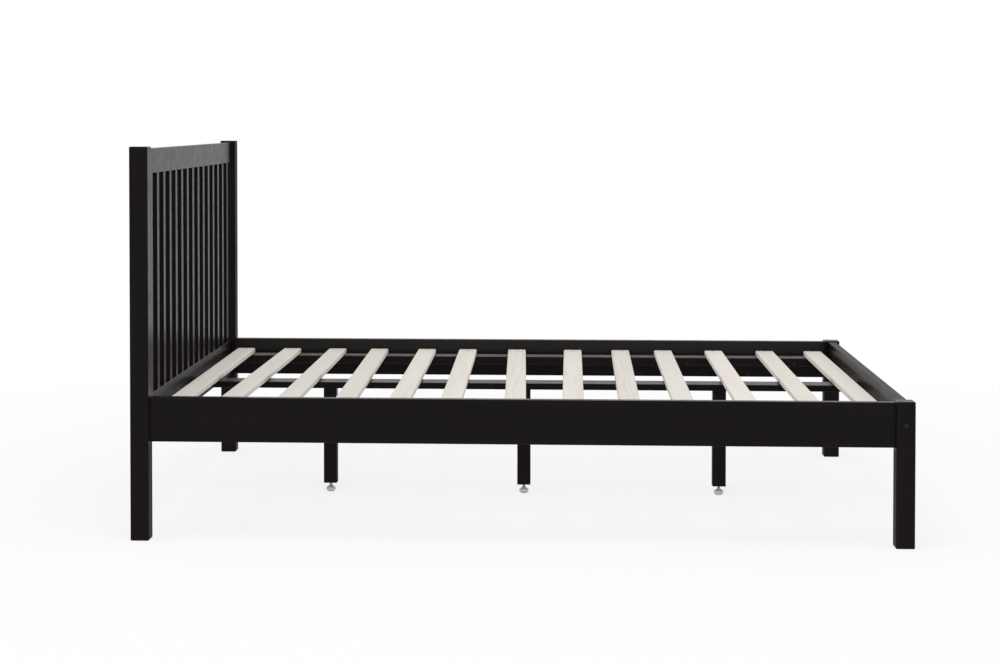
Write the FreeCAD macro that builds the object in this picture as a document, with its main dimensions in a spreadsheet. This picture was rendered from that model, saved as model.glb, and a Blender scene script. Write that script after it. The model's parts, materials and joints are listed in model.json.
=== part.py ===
import FreeCAD, Part
import Sketcher
import os

# Slatted double bed frame. Millimetres, +Z up, origin on the floor at the middle of the footprint.
# X runs along the bed, with the headboard at -X. Y runs across it. Left and right are as seen by
# someone who stands at the foot and looks at the headboard, so left is at -Y.

doc = FreeCAD.newDocument("bed_frame")
Vector = FreeCAD.Vector

# Driving sizes: alias, value, meaning.
SIZES = (
    ("mattress_length", "1900", "length of the mattress that the frame holds"),
    ("mattress_width", "1350", "width of the mattress that the frame holds"),
    ("mattress_end_gap", "2", "room between the mattress and the posts at each end"),
    ("mattress_side_gap", "4", "room between the mattress and each side rail"),
    ("post_side", "48", "side of the square posts"),
    ("post_ease", "2", "rounding of the long edges of a post, and chamfer of its ends"),
    ("headboard_tall", "1015", "height of the headboard posts"),
    ("footboard_tall", "373", "height of the foot posts"),
    ("rail_thick", "25", "thickness of the side rails and foot rail"),
    ("rail_tall", "115", "height of the side rails and foot rail"),
    ("rail_top", "370", "height of the top of those rails over the floor"),
    ("rail_inset", "11", "depth of a rail's outer face behind the outer face of its post"),
    ("rail_ease", "2", "rounding of the long edges of a rail"),
    ("head_rail_thick", "22", "thickness of the two headboard rails"),
    ("head_rail_inset", "13", "depth of their back face behind the back face of the posts"),
    ("top_rail_tall", "65", "height of the headboard top rail"),
    ("top_rail_drop", "6", "depth of its top below the top of the posts"),
    ("lower_rail_tall", "112", "height of the headboard lower rail"),
    ("lower_rail_drop", "3", "depth of its top below the top of the side rails"),
    ("tenon_thick", "10", "thickness of the tenons of the headboard rails"),
    ("tenon_shoulder", "10", "step from the top or bottom of a headboard rail to its tenon"),
    ("tenon_wall", "2.5", "wood left in a post between a mortise and the bed bolts"),
    ("spindle_count", "15", "number of spindles in the headboard"),
    ("spindle_wide", "28", "width of a spindle across the bed"),
    ("spindle_thick", "20", "thickness of a spindle along the bed"),
    ("spindle_ease", "1.5", "rounding of the long edges of a spindle"),
    ("spindle_tenon_long", "15", "length of the tenon at each end of a spindle"),
    ("spindle_tenon_thick", "10", "thickness of that tenon"),
    ("spindle_tenon_wide", "20", "width of that tenon"),
    ("joint_fit", "0.15", "clearance on each side of a tenon in its mortise"),
    ("joint_room", "0.5", "room past the end of a tenon, dowel, screw or pin"),
    ("slat_wide", "57", "width of a slat along the bed"),
    ("slat_thick", "16", "thickness of a slat"),
    ("slat_drop", "30", "depth of the top of the slats below the top of the rails"),
    ("slat_side_gap", "10", "room between the end of a slat and the side rail"),
    ("slat_end_gap", "8.5", "room between the first or last slat and the posts"),
    ("slat_ease", "4", "rounding of the long edges of a slat"),
    ("ledger_wide", "45", "width of a ledger strip across the bed"),
    ("ledger_tall", "30", "height of a ledger strip"),
    ("ledger_end_gap", "2", "room between the end of a ledger strip and the post"),
    ("ledger_ease", "6", "rounding of the long edges of a ledger strip"),
    ("ledger_screw_count", "6", "number of screws in each ledger strip"),
    ("ledger_screw_end", "100", "distance of the first of them from the post"),
    ("beam_wide", "80", "width of the centre beam across the bed"),
    ("beam_thick", "18", "thickness of the centre beam"),
    ("beam_end_gap", "1", "room between the end of the beam and the rail"),
    ("beam_ease", "1.5", "rounding of the long edges of the beam"),
    ("leg_side", "38", "side of the square centre legs"),
    ("leg_spacing", "563", "distance between neighbouring centre legs"),
    ("leg_clear", "27", "height of the bottom of a centre leg over the floor"),
    ("leg_ease", "1.5", "rounding of the long edges of a centre leg"),
    ("leg_screw_spread", "20", "distance between the two screws in the top of a centre leg"),
    ("bolt_wide", "6", "diameter of a bed bolt"),
    ("bolt_long", "80", "length of a bed bolt under its head"),
    ("bolt_head_wide", "10", "diameter of its head"),
    ("bolt_head_tall", "4", "height of its head"),
    ("bolt_key_wide", "4", "width across the flats of the socket in its head"),
    ("bolt_key_deep", "2.5", "depth of that socket"),
    ("bolt_play", "0.5", "clearance on each side of a bolt in its hole"),
    ("bolt_spread", "56", "distance between the upper and the lower bolt of a side rail"),
    ("cap_thick", "2", "thickness of the cap over a bolt head"),
    ("cap_chamfer", "0.5", "chamfer of the rim of a cap"),
    ("recess_wide", "13", "diameter of the recess that holds a bolt head and its cap"),
    ("nut_wide", "10", "diameter of a barrel nut"),
    ("nut_long", "16", "length of a barrel nut"),
    ("nut_setback", "30", "distance of a barrel nut from the end of its rail"),
    ("dowel_wide", "8", "diameter of a dowel"),
    ("dowel_long", "30", "length of a dowel"),
    ("dowel_chamfer", "1", "chamfer of the ends of a dowel"),
    ("dowel_spread", "80", "distance between the two dowels at an end of the foot rail"),
    ("snug_fit", "0.1", "clearance on each side of a nut, dowel, cap, screw or insert in its hole"),
    ("running_fit", "0.05", "clearance on each side of a shaft that turns, and of a thread"),
    ("screw_wide", "4", "diameter of the screws of the slats, ledgers and brackets"),
    ("screw_head_wide", "8", "diameter of their heads"),
    ("screw_point", "4", "length of the point of a screw"),
    ("screw_cross_long", "4.4", "length of each arm pair of the cross recess in a screw head"),
    ("screw_cross_wide", "0.9", "width of those arms"),
    ("screw_cross_deep", "1.4", "depth of the cross recess"),
    ("slat_screw_bite", "14", "length of a slat screw in the ledger"),
    ("ledger_screw_bite", "14", "length of a ledger screw in the side rail"),
    ("leg_screw_wide", "6", "diameter of the screws between beam and centre legs"),
    ("leg_screw_head_wide", "11", "diameter of their heads"),
    ("leg_screw_bite", "50", "length of such a screw in the leg"),
    ("bracket_wide", "50", "width of a beam bracket across the bed"),
    ("bracket_thick", "3", "thickness of its plate"),
    ("bracket_reach", "45", "length of its arm under the beam"),
    ("bracket_drop", "40", "length of its arm on the rail"),
    ("bracket_bend", "3", "rounding of the inside of its bend"),
    ("bracket_hole_spread", "28", "distance between the two screws in an arm"),
    ("bracket_hole_play", "0.25", "clearance on each side of a screw in the bracket"),
    ("bracket_screw_bite", "13", "length of a bracket screw in the wood"),
    ("bracket_screw_head_tall", "2.4", "height of the round head of a bracket screw"),
    ("insert_wide", "12", "outer diameter of the threaded insert in a centre leg"),
    ("insert_long", "18", "length of that insert"),
    ("stud_wide", "8", "diameter of the stud of a levelling foot"),
    ("stud_bury", "38", "length of the stud inside the leg"),
    ("stud_chamfer", "1", "chamfer of the top of the stud"),
    ("stud_hole_play", "1", "clearance on each side of the stud above the insert"),
    ("foot_rise", "6", "way that a levelling foot can be screwed in"),
    ("collar_wide", "10", "width across the flats of the hexagon on the stud"),
    ("collar_tall", "4", "height of that hexagon"),
    ("journal_wide", "7", "diameter of the pin on which the pad turns"),
    ("journal_long", "9", "length of that pin"),
    ("pad_wide", "27", "diameter of the pad of a levelling foot"),
    ("pad_tall", "16", "height of the pad"),
    ("pad_rim_tall", "11", "height of the pad's rim over the floor"),
    ("pad_top_wide", "14", "diameter of the flat top of the pad"),
    ("pad_foot_step", "5", "step of the rounded lower edge of the pad"),
)

# Sizes and places that follow from the driving ones: alias, formula, meaning.
WORKED = (
    ("bed_length", "=2 * (dims.mattress_length / 2 + dims.mattress_end_gap + dims.post_side)",
     "length over the posts"),
    ("bed_width", "=2 * (dims.mattress_width / 2 + dims.mattress_side_gap + dims.rail_thick"
     " + dims.rail_inset)", "width over the posts"),
    ("post_half", "=dims.post_side / 2", "half the side of a post"),
    ("rail_half", "=dims.rail_thick / 2", "half the thickness of a rail"),
    ("post_x", "=bed_length / 2 - post_half", "distance of a post's middle from the middle of the bed"),
    ("post_y", "=bed_width / 2 - post_half", "distance of a post's middle from the centre line"),
    ("span_x", "=bed_length - 2 * dims.post_side", "clear length between the posts"),
    ("span_y", "=bed_width - 2 * dims.post_side", "clear width between the posts"),
    ("rail_shift", "=post_half - dims.rail_inset - rail_half",
     "offset of a rail's middle from the middle of its post, towards the outside"),
    ("side_rail_y", "=post_y + rail_shift", "distance of a side rail's middle from the centre line"),
    ("foot_rail_x", "=post_x + rail_shift", "place of the foot rail's middle"),
    ("foot_rail_face", "=foot_rail_x - rail_half", "place of the foot rail's inner face"),
    ("well_half", "=side_rail_y - rail_half", "half the clear width between the side rails"),
    ("rail_middle", "=dims.rail_top - dims.rail_tall / 2", "height of the middle of the rails"),
    ("head_rail_shift", "=dims.head_rail_inset + dims.head_rail_thick / 2 - post_half",
     "offset of the headboard rails' middle from the middle of the posts"),
    ("head_rail_x", "=head_rail_shift - post_x", "place of the headboard rails' middle"),
    ("head_rail_face", "=head_rail_x + dims.head_rail_thick / 2", "place of their front face"),
    ("top_rail_middle", "=dims.headboard_tall - dims.top_rail_drop - dims.top_rail_tall / 2",
     "height of the middle of the top rail"),
    ("lower_rail_top", "=dims.rail_top - dims.lower_rail_drop", "height of the top of the lower rail"),
    ("lower_rail_middle", "=lower_rail_top - dims.lower_rail_tall / 2",
     "height of the middle of the lower rail"),
    ("bolt_hole_wide", "=dims.bolt_wide + 2 * dims.bolt_play", "diameter of a bolt hole"),
    ("recess_deep", "=dims.bolt_head_tall + dims.cap_thick", "depth of a bolt head's recess"),
    ("bolt_reach", "=dims.bolt_long - dims.post_side + recess_deep + dims.joint_room",
     "depth of a bolt hole in the end of a rail"),
    ("tenon_long", "=post_half + rail_shift - bolt_hole_wide / 2 - dims.tenon_wall - dims.joint_room",
     "length of the tenons of the headboard rails"),
    ("mortise_deep", "=tenon_long + dims.joint_room", "depth of the mortises in the posts"),
    ("nut_hole_deep", "=rail_half + dims.nut_long / 2", "depth of a barrel nut's hole"),
    ("dowel_hole_deep", "=dims.dowel_long / 2 + dims.joint_room", "depth of a dowel hole"),
    ("spindle_pitch", "=(span_y + dims.spindle_wide) / (dims.spindle_count + 1)",
     "distance between neighbouring spindles"),
    ("spindle_first", "=-spindle_pitch * (dims.spindle_count - 1) / 2", "place of the first spindle"),
    ("spindle_top", "=top_rail_middle - dims.top_rail_tall / 2", "height of the upper end of the spindles"),
    ("spindle_tall", "=spindle_top - lower_rail_top", "length of a spindle between the rails"),
    ("slat_top", "=dims.rail_top - dims.slat_drop", "height of the top of the slats"),
    ("slat_under", "=slat_top - dims.slat_thick", "height of the underside of the slats"),
    ("slat_long", "=2 * (well_half - dims.slat_side_gap)", "length of a slat"),
    ("slat_last", "=span_x / 2 - dims.slat_end_gap - dims.slat_wide / 2", "place of the last slat"),
    ("ledger_y", "=well_half - dims.ledger_wide / 2", "distance of a ledger's middle from the centre line"),
    ("ledger_long", "=span_x - 2 * dims.ledger_end_gap", "length of a ledger strip"),
    ("ledger_bottom", "=slat_under - dims.ledger_tall", "height of the underside of the ledgers"),
    ("ledger_screw_z", "=ledger_bottom + dims.ledger_ease + dims.screw_head_wide / 2 + dims.snug_fit",
     "height of the ledger screws, on the flat of the strip and below the points of the slat screws"),
    ("ledger_screw_x", "=span_x / 2 - dims.ledger_screw_end", "place of the last ledger screw"),
    ("beam_x", "=(foot_rail_face + head_rail_face) / 2", "place of the beam's middle"),
    ("beam_long", "=foot_rail_face - head_rail_face - 2 * dims.beam_end_gap", "length of the beam"),
    ("beam_under", "=slat_under - dims.beam_thick", "height of the underside of the beam"),
    ("leg_tall", "=beam_under - dims.leg_clear", "length of a centre leg"),
    ("screw_hole_wide", "=dims.screw_wide + 2 * dims.snug_fit", "diameter of a screw hole"),
    ("sink_wide", "=dims.screw_head_wide + 2 * dims.snug_fit", "diameter of a countersink"),
    ("leg_screw_hole_wide", "=dims.leg_screw_wide + 2 * dims.snug_fit", "diameter of a leg screw's hole"),
    ("leg_sink_wide", "=dims.leg_screw_head_wide + 2 * dims.snug_fit", "diameter of its countersink"),
    ("bracket_hole_x", "=(dims.bracket_reach + dims.bracket_thick) / 2",
     "distance of the beam screws from the rail"),
    ("bracket_hole_z", "=(dims.bracket_drop + dims.bracket_thick) / 2",
     "depth of the rail screws below the beam"),
    ("stud_top", "=dims.leg_clear + dims.stud_bury", "height of the top of the stud"),
    ("stud_hole_deep", "=dims.stud_bury + dims.foot_rise + dims.joint_room",
     "depth of the hole for the stud"),
    ("thread_bottom", "=dims.pad_tall + dims.collar_tall", "height of the lower end of the thread"),
    ("socket_floor", "=dims.pad_tall - dims.journal_long - dims.joint_room",
     "height of the pad's socket floor"),
)

# Each slat lies a little off its even place, by this share of the distance between slats.
SLAT_SHIFT_SHARES = (0, -0.07, -0.08, -0.11, -0.13, -0.24, -0.15, -0.07, -0.08, -0.16, -0.08, 0, 0)

# Each slat also lies a little askew. From left to right it moves towards the foot by this share of its run.
SLAT_SKEW_SHARES = (-0.002, 0.012, 0.007, -0.010, -0.002, -0.007, -0.018, 0.005, 0.008, 0.003,
                    -0.001, -0.003, -0.002)

SIDES = (("left", -1), ("right", 1))
LEGS = (("head", -1), ("middle", 0), ("foot", 1))
FLATS = 6

# A sketched size has this length until its formula sets it.
START = 1

# A direction runs along an axis when more than this share of it does.
MOSTLY_SHARE = 0.5

# The origin plane that is square to each axis, and the way its normal points along that axis.
PLANES = {"X": ("YZ_Plane", 1), "Y": ("XZ_Plane", -1), "Z": ("XY_Plane", 1)}

parts = []


def sheet_of(name, rows):
    """A spreadsheet with one named value in each row."""
    sheet = doc.addObject("Spreadsheet::Sheet", name)
    for row, (alias, value, meaning) in enumerate(rows, start=1):
        sheet.set(f"A{row}", meaning)
        sheet.set(f"B{row}", value)
        sheet.setAlias(f"B{row}", alias)
    doc.recompute()
    return sheet


def bind(thing, **formulas):
    """Tie properties of a feature to the sheets."""
    for name, formula in formulas.items():
        thing.setExpression(name, formula)


def place(thing, x, y, z):
    """Tie the place of an object to the sheets."""
    for axis, formula in (("x", x), ("y", y), ("z", z)):
        thing.setExpression(f"Placement.Base.{axis}", formula)


def origin_of(body, role):
    """The plane or axis of a body's own origin with this role."""
    return next(item for item in body.Origin.OriginFeatures if item.Role == role)


def new_body(label, x="0", y="0", z="0"):
    """An empty body at a place of its own."""
    body = doc.addObject("PartDesign::Body", label)
    body.Label = label
    place(body, x, y, z)
    return body


def sketch_at(body, axis, level="0"):
    """An empty sketch square to an axis of the body, at a level along that axis."""
    role, way = PLANES[axis]
    sketch = body.newObject("Sketcher::SketchObject", "outline")
    sketch.AttachmentSupport = [(origin_of(body, role), "")]
    sketch.MapMode = "FlatFace"
    sketch.setExpression("AttachmentOffset.Base.z", f"{way} * ({level})")
    return sketch


def fix_point(sketch, item, point, u, v):
    """Tie a point of a sketch to the sheets."""
    for kind, formula in (("DistanceX", u), ("DistanceY", v)):
        number = sketch.addConstraint(Sketcher.Constraint(kind, -1, 1, item, point, START))
        sketch.setExpression(f"Constraints[{number}]", formula)


def polygon(sketch, corners):
    """A closed outline through corners that are tied to the sheets."""
    count = len(corners)
    first = sketch.GeometryCount
    for item in range(count):
        after = item + 1
        sketch.addGeometry(Part.LineSegment(Vector(item, item * item), Vector(after, after * after)))
    for item in range(count):
        after = (item + 1) % count
        sketch.addConstraint(Sketcher.Constraint("Coincident", first + item, 2, first + after, 1))
    for item, (u, v) in enumerate(corners):
        fix_point(sketch, first + item, 1, u, v)


def rectangle(sketch, u, v, wide, tall):
    """A rectangle about a middle point."""
    steps = ((-1, -1), (1, -1), (1, 1), (-1, 1))
    polygon(sketch, [(f"{u} + {a} * ({wide}) / 2", f"{v} + {b} * ({tall}) / 2") for a, b in steps])


def hexagon(sketch, flats_wide):
    """A regular hexagon about the middle, from its width across the flats."""
    corner = f"{flats_wide} / (2 * cos(180 deg / {FLATS}))"
    turns = [f"{number} * 360 deg / {FLATS}" for number in range(FLATS)]
    polygon(sketch, [(f"{corner} * cos({turn})", f"{corner} * sin({turn})") for turn in turns])


def circles(sketch, middles, wide):
    """Circles of one diameter."""
    for u, v in middles:
        item = sketch.addGeometry(Part.Circle(Vector(), Vector(0, 0, 1), START))
        fix_point(sketch, item, 3, u, v)
        number = sketch.addConstraint(Sketcher.Constraint("Diameter", item, START))
        sketch.setExpression(f"Constraints[{number}]", wide)


def pad(body, sketch, long, both_ways=True):
    """A prism on a sketch, to both sides of its plane or along its normal."""
    feature = body.newObject("PartDesign::Pad", "pad")
    feature.Profile = sketch
    feature.SideType = "Symmetric" if both_ways else "One side"
    bind(feature, Length=long)
    doc.recompute([body])
    return feature


def settled_volume(body):
    """The volume of a body once its features are up to date."""
    doc.recompute([body])
    return body.Shape.Volume


def pocket(body, sketch, axis, way, deep=None):
    """A cut from a sketch along an axis, the given way, to a depth or right through."""
    volume = settled_volume(body)
    feature = body.newObject("PartDesign::Pocket", "pocket")
    feature.Profile = sketch
    feature.Reversed = way == PLANES[axis][1]
    if deep is None:
        feature.Type = "ThroughAll"
    else:
        bind(feature, Length=deep)
    if not settled_volume(body) < volume:
        raise RuntimeError(f"a cut in {body.Label} removes nothing")
    return feature


def drill(body, axis, level, way, middles, wide, deep=None):
    """Round holes from a flat face, the given way along an axis."""
    sketch = sketch_at(body, axis, level)
    circles(sketch, middles, wide)
    return pocket(body, sketch, axis, way, deep)


def countersink(body, axis, level, way, middles, wide, sink_wide):
    """Countersunk holes right through from a flat face, the given way along an axis."""
    sketch = sketch_at(body, axis, level)
    circles(sketch, middles, wide)
    volume = settled_volume(body)
    hole = body.newObject("PartDesign::Hole", "hole")
    hole.Profile = sketch
    hole.Reversed = way == PLANES[axis][1]
    hole.DepthType = "ThroughAll"
    hole.HoleCutType = "Countersink"
    hole.HoleCutCustomValues = True
    hole.HoleCutCountersinkAngle = 90
    bind(hole, Diameter=wide, HoleCutDiameter=sink_wide)
    if not settled_volume(body) < volume:
        raise RuntimeError(f"a hole in {body.Label} removes nothing")
    return hole


def edges_along(shape, axis):
    """Names of the straight edges that run along an axis."""
    names = []
    for number, edge in enumerate(shape.Edges, start=1):
        run = edge.Vertexes[-1].Point - edge.Vertexes[0].Point
        others = [abs(getattr(run, other.lower())) for other in "XYZ" if other != axis]
        if edge.Curve.TypeId == "Part::GeomLine" and max(others) < edge.Length * MOSTLY_SHARE:
            names.append(f"Edge{number}")
    return names


def ease(body, feature, axis, radius):
    """Round the long edges of a timber."""
    rounding = body.newObject("PartDesign::Fillet", "easing")
    rounding.Base = (feature, edges_along(feature.Shape, axis))
    bind(rounding, Radius=radius)
    doc.recompute([body])
    return rounding


def end_faces(shape, axis):
    """Names of the flat faces square to an axis."""
    names = []
    for number, face in enumerate(shape.Faces, start=1):
        if face.Surface.TypeId != "Part::GeomPlane":
            continue
        if abs(getattr(face.Surface.Axis, axis.lower())) > MOSTLY_SHARE:
            names.append(f"Face{number}")
    return names


def bevel_ends(body, feature, axis, size):
    """Chamfer the ends of a timber."""
    bevel = body.newObject("PartDesign::Chamfer", "bevel")
    bevel.Base = (feature, end_faces(feature.Shape, axis))
    bind(bevel, Size=size)
    doc.recompute([body])
    return bevel


def turned(body, corners):
    """A solid of revolution about the body's Z axis, from an outline in (radius, height)."""
    sketch = sketch_at(body, "Y")
    polygon(sketch, corners)
    turning = body.newObject("PartDesign::Revolution", "turning")
    turning.Profile = sketch
    turning.ReferenceAxis = (origin_of(body, "Z_Axis"), [""])
    turning.Angle = 360
    doc.recompute([body])
    return turning


def keep(body):
    """List a finished piece."""
    parts.append(body)
    return body


def group_of(label, pattern, stations):
    """One node of equal fasteners: a copy of the pattern at each station, along its direction."""
    copies = []
    for x, y, z, turn in stations:
        copy = doc.addObject("App::Link", f"{label}_copy")
        copy.LinkedObject = pattern
        copy.Placement = FreeCAD.Placement(Vector(), turn)
        place(copy, x, y, z)
        copies.append(copy)
    group = doc.addObject("Part::Compound", label)
    group.Label = label
    group.Links = copies
    return keep(group)


def along(x, y, z):
    """The turn that brings a fastener's own +Z to a direction."""
    return FreeCAD.Rotation(Vector(0, 0, 1), Vector(x, y, z))


dims = sheet_of("dims", SIZES)
places = sheet_of("places", WORKED)

slat_gaps = len(SLAT_SHIFT_SHARES) - 1
slat_places = [
    f"places.slat_last * ({2 * number / slat_gaps} - 1 + {share * 2 / slat_gaps})"
    for number, share in enumerate(SLAT_SHIFT_SHARES)
]
slat_ends = {
    side: [f"{x} + {side * share} * places.ledger_y" for x, share in zip(slat_places, SLAT_SKEW_SHARES)]
    for side in (-1, 1)
}
ledger_gaps = int(dims.ledger_screw_count) - 1
ledger_screw_places = [
    f"places.ledger_screw_x * ({2 * number / ledger_gaps} - 1)" for number in range(ledger_gaps + 1)
]
bolt_levels = [f"{way} * dims.bolt_spread / 2" for way in (-1, 1)]
dowel_levels = [f"{way} * dims.dowel_spread / 2" for way in (-1, 1)]
leg_screw_ways = [f"{way} * dims.leg_screw_spread / 2" for way in (-1, 1)]
bracket_ways = [f"{way} * dims.bracket_hole_spread / 2" for way in (-1, 1)]


# Posts

def post(label, side, end, tall):
    """A square post, with the bolt and dowel holes of its side rail. End is -1 at the head, 1 at the foot."""
    body = new_body(label, f"{end} * places.post_x", f"{side} * places.post_y")
    section = sketch_at(body, "Z")
    rectangle(section, "0", "0", "dims.post_side", "dims.post_side")
    timber = pad(body, section, tall, both_ways=False)
    timber = ease(body, timber, "Z", "dims.post_ease")
    bevel_ends(body, timber, "Z", "dims.post_ease")
    rail_y = f"{side} * places.rail_shift"
    outer = f"{end} * places.post_half"
    inner = f"{-end} * places.post_half"
    bolts = [(rail_y, f"places.rail_middle + {level}") for level in bolt_levels]
    drill(body, "X", outer, -end, bolts, "places.bolt_hole_wide")
    drill(body, "X", outer, -end, bolts, "dims.recess_wide", "places.recess_deep")
    drill(body, "X", inner, end, [(rail_y, "places.rail_middle")],
          "dims.dowel_wide + 2 * dims.snug_fit", "places.dowel_hole_deep")
    return keep(body)


def mortise(body, side, middle, tall):
    """A mortise for a headboard rail in the inner side of a headboard post."""
    sketch = sketch_at(body, "Y", f"{-side} * places.post_half")
    rectangle(sketch, "places.head_rail_shift", middle, "dims.tenon_thick + 2 * dims.joint_fit",
              f"{tall} - 2 * dims.tenon_shoulder + 2 * dims.joint_fit")
    pocket(body, sketch, "Y", side, "places.mortise_deep")


for name, side in SIDES:
    headboard_post = post(f"headboard_post_{name}", side, -1, "dims.headboard_tall")
    mortise(headboard_post, side, "places.top_rail_middle", "dims.top_rail_tall")
    mortise(headboard_post, side, "places.lower_rail_middle", "dims.lower_rail_tall")

for name, side in SIDES:
    foot_post = post(f"foot_post_{name}", side, 1, "dims.footboard_tall")
    outer = f"{side} * places.post_half"
    inner = f"{-side} * places.post_half"
    bolt = [("places.rail_shift", "places.rail_middle")]
    pins = [("places.rail_shift", f"places.rail_middle + {level}") for level in dowel_levels]
    drill(foot_post, "Y", outer, -side, bolt, "places.bolt_hole_wide")
    drill(foot_post, "Y", outer, -side, bolt, "dims.recess_wide", "places.recess_deep")
    drill(foot_post, "Y", inner, side, pins, "dims.dowel_wide + 2 * dims.snug_fit", "places.dowel_hole_deep")


# Headboard rails and spindles

def headboard_rail(label, middle, tall, mortise_way):
    """A rail with a stub tenon at each end and a row of mortises along its lower or upper edge."""
    body = new_body(label, "places.head_rail_x", "0", middle)
    section = sketch_at(body, "Y")
    rectangle(section, "0", "0", "dims.head_rail_thick", tall)
    timber = pad(body, section, "places.span_y")
    ease(body, timber, "Y", "dims.rail_ease")
    tenon = sketch_at(body, "Y")
    rectangle(tenon, "0", "0", "dims.tenon_thick", f"{tall} - 2 * dims.tenon_shoulder")
    pad(body, tenon, "places.span_y + 2 * places.tenon_long")
    first = sketch_at(body, "Z", f"{mortise_way} * {tall} / 2")
    rectangle(first, "0", "places.spindle_first", "dims.spindle_tenon_thick + 2 * dims.joint_fit",
              "dims.spindle_tenon_wide + 2 * dims.joint_fit")
    cut = pocket(body, first, "Z", -mortise_way, "dims.spindle_tenon_long + dims.joint_room")
    row = body.newObject("PartDesign::LinearPattern", "row")
    row.Originals = [cut]
    row.Direction = (origin_of(body, "Y_Axis"), [""])
    bind(row, Length="places.spindle_pitch * (dims.spindle_count - 1)", Occurrences="dims.spindle_count")
    body.Tip = row
    return keep(body)


headboard_rail("headboard_top_rail", "places.top_rail_middle", "dims.top_rail_tall", -1)
lower_rail = headboard_rail("headboard_lower_rail", "places.lower_rail_middle", "dims.lower_rail_tall", 1)
drill(lower_rail, "X", "dims.head_rail_thick / 2", -1,
      [(way, "places.beam_under - places.bracket_hole_z - places.lower_rail_middle") for way in bracket_ways],
      "places.screw_hole_wide", "dims.bracket_screw_bite + dims.joint_room")

for number in range(int(dims.spindle_count)):
    spindle = new_body(f"headboard_spindle_{number + 1:02d}", "places.head_rail_x",
                       f"places.spindle_first + {number} * places.spindle_pitch",
                       "places.lower_rail_top + places.spindle_tall / 2")
    section = sketch_at(spindle, "Z")
    rectangle(section, "0", "0", "dims.spindle_thick", "dims.spindle_wide")
    ease(spindle, pad(spindle, section, "places.spindle_tall"), "Z", "dims.spindle_ease")
    tenon = sketch_at(spindle, "Z")
    rectangle(tenon, "0", "0", "dims.spindle_tenon_thick", "dims.spindle_tenon_wide")
    pad(spindle, tenon, "places.spindle_tall + 2 * dims.spindle_tenon_long")
    keep(spindle)


# Side rails and their ledger strips

for name, side in SIDES:
    rail = new_body(f"side_rail_{name}", "0", f"{side} * places.side_rail_y", "places.rail_middle")
    section = sketch_at(rail, "X")
    rectangle(section, "0", "0", "dims.rail_thick", "dims.rail_tall")
    ease(rail, pad(rail, section, "places.span_x"), "X", "dims.rail_ease")
    inner = f"{-side} * places.rail_half"
    nuts = []
    for end in (-1, 1):
        face = f"{end} * places.span_x / 2"
        drill(rail, "X", face, -end, [("0", level) for level in bolt_levels],
              "places.bolt_hole_wide", "places.bolt_reach")
        drill(rail, "X", face, -end, [("0", "0")],
              "dims.dowel_wide + 2 * dims.snug_fit", "places.dowel_hole_deep")
        nuts += [(f"{end} * (places.span_x / 2 - dims.nut_setback)", level) for level in bolt_levels]
    drill(rail, "Y", inner, side, nuts, "dims.nut_wide + 2 * dims.snug_fit", "places.nut_hole_deep")
    pilots = [(x, "places.ledger_screw_z - places.rail_middle") for x in ledger_screw_places]
    drill(rail, "Y", inner, side, pilots,
          "places.screw_hole_wide", "dims.ledger_screw_bite + dims.joint_room")
    keep(rail)

for name, side in SIDES:
    ledger = new_body(f"slat_ledger_{name}", "0", f"{side} * places.ledger_y",
                      "places.ledger_bottom + dims.ledger_tall / 2")
    section = sketch_at(ledger, "X")
    rectangle(section, "0", "0", "dims.ledger_wide", "dims.ledger_tall")
    ease(ledger, pad(ledger, section, "places.ledger_long"), "X", "dims.ledger_ease")
    drill(ledger, "Z", "dims.ledger_tall / 2", -1, [(x, "0") for x in slat_ends[side]],
          "places.screw_hole_wide", "dims.slat_screw_bite + dims.joint_room")
    screw_z = "places.ledger_screw_z - places.ledger_bottom - dims.ledger_tall / 2"
    countersink(ledger, "Y", f"{-side} * dims.ledger_wide / 2", side,
                [(x, screw_z) for x in ledger_screw_places], "places.screw_hole_wide", "places.sink_wide")
    keep(ledger)


# Foot rail

foot_rail = new_body("foot_rail", "places.foot_rail_x", "0", "places.rail_middle")
section = sketch_at(foot_rail, "Y")
rectangle(section, "0", "0", "dims.rail_thick", "dims.rail_tall")
ease(foot_rail, pad(foot_rail, section, "places.span_y"), "Y", "dims.rail_ease")
for side in (-1, 1):
    face = f"{side} * places.span_y / 2"
    drill(foot_rail, "Y", face, -side, [("0", "0")], "places.bolt_hole_wide", "places.bolt_reach")
    drill(foot_rail, "Y", face, -side, [("0", level) for level in dowel_levels],
          "dims.dowel_wide + 2 * dims.snug_fit", "places.dowel_hole_deep")
drill(foot_rail, "X", "-places.rail_half", 1,
      [(f"{side} * (places.span_y / 2 - dims.nut_setback)", "0") for side in (-1, 1)],
      "dims.nut_wide + 2 * dims.snug_fit", "places.nut_hole_deep")
drill(foot_rail, "X", "-places.rail_half", 1,
      [(way, "places.beam_under - places.bracket_hole_z - places.rail_middle") for way in bracket_ways],
      "places.screw_hole_wide", "dims.bracket_screw_bite + dims.joint_room")
keep(foot_rail)


# Slats

for number, (x, share) in enumerate(zip(slat_places, SLAT_SKEW_SHARES), start=1):
    slat = new_body(f"slat_{number:02d}", x, "0", "places.slat_top - dims.slat_thick / 2")
    run = Vector(share, 1, 0)
    slat.Placement = FreeCAD.Placement(Vector(), FreeCAD.Rotation(Vector(0, 1, 0), run))
    section = sketch_at(slat, "Y")
    rectangle(section, "0", "0", "dims.slat_wide", "dims.slat_thick")
    ease(slat, pad(slat, section, "places.slat_long"), "Y", "dims.slat_ease")
    countersink(slat, "Z", "dims.slat_thick / 2", -1,
                [("0", f"{side * run.Length} * places.ledger_y") for side in (-1, 1)],
                "places.screw_hole_wide", "places.sink_wide")
    keep(slat)


# Centre beam, its brackets and its legs

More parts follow.
